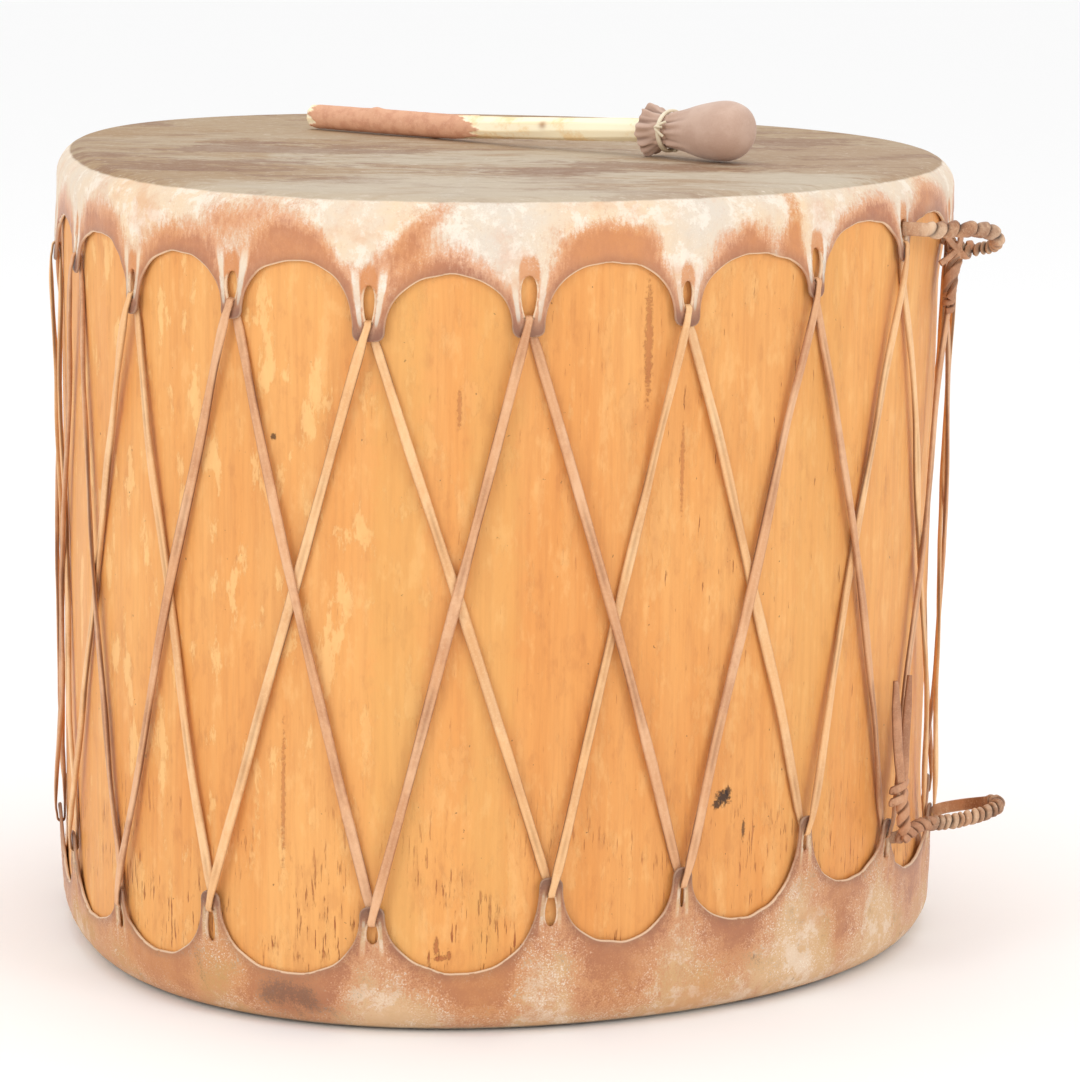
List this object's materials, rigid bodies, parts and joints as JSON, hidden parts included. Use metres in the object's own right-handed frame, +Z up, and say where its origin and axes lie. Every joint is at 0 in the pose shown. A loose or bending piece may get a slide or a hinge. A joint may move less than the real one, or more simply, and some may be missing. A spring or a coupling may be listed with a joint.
{
  "type": "log drum",
  "caption": "Ceremonial log drum with rawhide heads laced by zigzag thongs, wrapped side handles, and its padded beater on top.",
  "frame": {"origin": "on the floor, at the middle of the trunk's flat underside", "axes": "+Z up along the trunk, -Y towards the viewer of the picture, +X towards the side with the handles"},
  "size_m": [0.6425, 0.6317, 0.5699],
  "materials": {
    "log_wood": "peeled and oiled log, satin, vertical grain, knots and fine cracks",
    "top_rawhide": "scraped rawhide, satin, greyish beige with brown streaks, cream and orange skirt",
    "bottom_rawhide": "scraped rawhide, satin, khaki brown to orange brown with cream patches",
    "pale_thong": "dry rawhide thong, matt, cream and tan",
    "brown_thong": "dry rawhide thong, matt, pinkish brown",
    "handle_wrap": "wrapped rawhide strip, matt, tan with dark gaps",
    "handle_tie": "knotted thong, matt, brown",
    "stick_wood": "branch, reddish brown bark on the grip and pale knife-cut wood past it",
    "pad_leather": "soft buckskin, matt, taupe",
    "tie_cord": "thin cream thong, matt"
  },
  "bodies": {
    "root": {"shell": "log_wood", "top_head": "top_rawhide", "bottom_head": "bottom_rawhide", "lacing_under": "pale_thong", "lacing_over": "brown_thong", "upper_handle": "handle_wrap", "upper_handle_tie": "handle_tie", "lower_handle": "handle_wrap", "lower_handle_tie": "handle_tie", "beater_stick": "stick_wood", "beater_pad": "pad_leather", "beater_tie": "tie_cord"}
  },
  "joints": []
}
